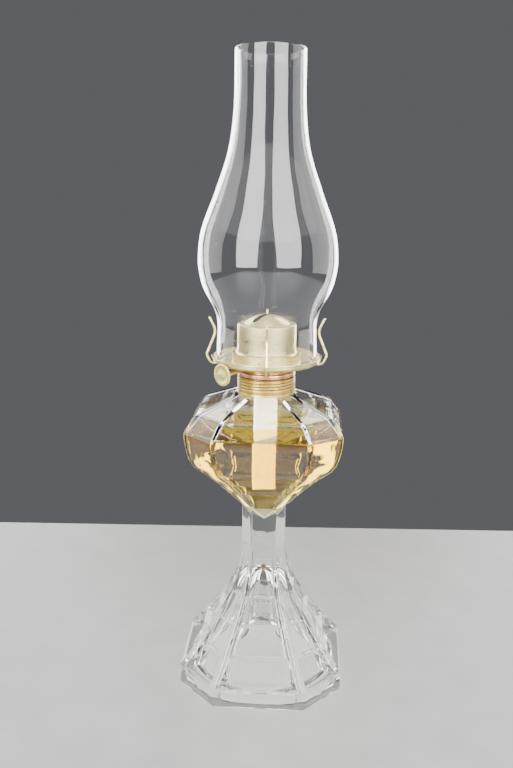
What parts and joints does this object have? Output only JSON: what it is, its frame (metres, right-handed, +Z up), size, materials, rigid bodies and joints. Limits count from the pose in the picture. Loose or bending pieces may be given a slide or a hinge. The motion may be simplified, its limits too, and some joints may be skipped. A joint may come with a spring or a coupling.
{
  "type": "kerosene table lamp",
  "caption": "Pressed-glass kerosene table lamp with a faceted stepped foot and oil fount, a brass flat-wick burner with a side knob, and a tall bulbed glass chimney.",
  "frame": {"origin": "middle of the foot's underside, on the table", "axes": "+Z up the lamp's axis to the chimney's top; -Y is the front, and the long sides of the faceted glass face along X and Y; the wick's knob is at the front left"},
  "size_m": [0.124, 0.124, 0.4642],
  "materials": {
    "clear_glass": "gloss",
    "chimney_glass": "gloss",
    "lamp_oil": "gloss",
    "plaster": "matte",
    "aged_brass": "satin",
    "pale_brass": "satin",
    "knob_brass": "satin",
    "copper_plate": "gloss",
    "wick_cotton": "matte"
  },
  "bodies": {
    "base": {"glass_foot": "clear_glass", "glass_fount": "clear_glass", "lamp_oil": "lamp_oil", "collar_plaster": "plaster", "screw_collar": "aged_brass"},
    "burner": {"screw_shell": "aged_brass", "bead_ring": "copper_plate", "air_basket": "aged_brass", "gallery": "pale_brass", "draft_plate": "aged_brass", "deflector": "pale_brass", "prong_clips": "aged_brass", "wick_tube": "aged_brass", "vent_tube": "aged_brass", "wheel_housing": "aged_brass"},
    "knob": {"wick_shaft": "pale_brass", "spur_wheels": "aged_brass", "thumbwheel": "knob_brass"},
    "wick": {"wick": "wick_cotton"},
    "chimney": {"chimney": "chimney_glass"},
    "prong_front": {"prong_front": "pale_brass"},
    "prong_right": {"prong_right": "pale_brass"},
    "prong_back": {"prong_back": "pale_brass"},
    "prong_left": {"prong_left": "pale_brass"}
  },
  "joints": [
    {"name": "burner_lift", "type": "slide", "parent": "base", "child": "burner", "axis": [0, 0, 1], "range_m": [0, 0.1]},
    {"name": "chimney_lift", "type": "slide", "parent": "burner", "child": "chimney", "axis": [0, 0, 1], "range_m": [0, 0.06]},
    {"name": "knob_turn", "type": "hinge", "parent": "burner", "child": "knob", "pos_m": [-0.00356, 0.00291, 0.2448], "axis": [-0.632, -0.7749, 0], "range_deg": [-179, 179]},
    {"name": "wick_slide", "type": "slide", "parent": "burner", "child": "wick", "axis": [0, 0, 1], "range_m": [-0.00995, 0.00995]},
    {"name": "prong_front_flex", "type": "hinge", "parent": "burner", "child": "prong_front", "pos_m": [0.00135, -0.02757, 0.24745], "axis": [0.9988, 0.0489, 0], "range_deg": [0, 8], "stiffness_Nm_per_rad": 0.15},
    {"name": "prong_right_flex", "type": "hinge", "parent": "burner", "child": "prong_right", "pos_m": [0.02757, 0.00135, 0.24745], "axis": [-0.0489, 0.9988, 0], "range_deg": [0, 8], "stiffness_Nm_per_rad": 0.15},
    {"name": "prong_back_flex", "type": "hinge", "parent": "burner", "child": "prong_back", "pos_m": [-0.00135, 0.02757, 0.24745], "axis": [-0.9988, -0.0489, 0], "range_deg": [0, 8], "stiffness_Nm_per_rad": 0.15},
    {"name": "prong_left_flex", "type": "hinge", "parent": "burner", "child": "prong_left", "pos_m": [-0.02757, -0.00135, 0.24745], "axis": [0.0489, -0.9988, 0], "range_deg": [0, 8], "stiffness_Nm_per_rad": 0.15}
  ],
  "couplings": [
    {"joint": "knob_turn", "follows": "wick_slide", "rad_per_m": 312.5}
  ]
}
